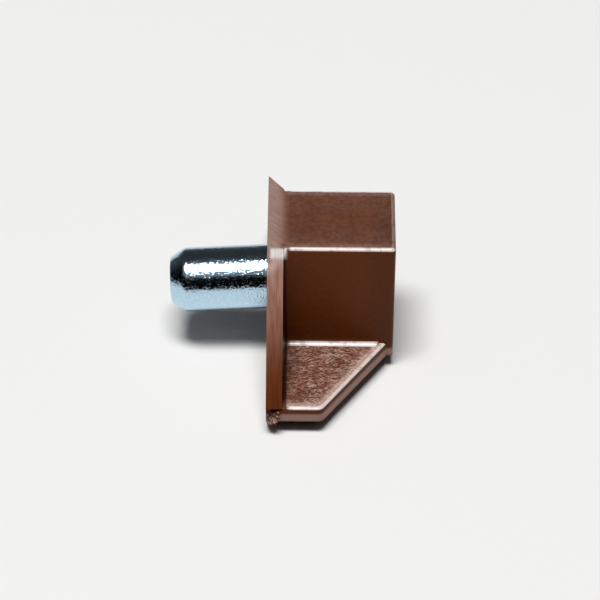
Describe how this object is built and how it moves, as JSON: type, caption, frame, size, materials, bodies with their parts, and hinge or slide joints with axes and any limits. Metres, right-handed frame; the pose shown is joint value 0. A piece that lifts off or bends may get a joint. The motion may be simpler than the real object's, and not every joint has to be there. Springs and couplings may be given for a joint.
{
  "type": "shelf support pin",
  "caption": "Plug-in shelf support: a brown moulded plastic bracket with a flat shelf plate, a block and a bevelled back plate, on a plain steel pin.",
  "frame": {"origin": "on the pin's axis where it leaves the back face", "axes": "+X away from the cabinet side, +Y along the shelf's edge, +Z from the shelf face towards the block's top; in use -Z is up"},
  "size_m": [0.0174, 0.0238, 0.0128],
  "materials": {
    "brown_plastic": "semi-gloss moulded brown plastic",
    "zinc_steel": "bright zinc plating, faintly blue"
  },
  "bodies": {
    "root": {"bracket": "brown_plastic", "steel_pin": "zinc_steel"}
  },
  "joints": []
}
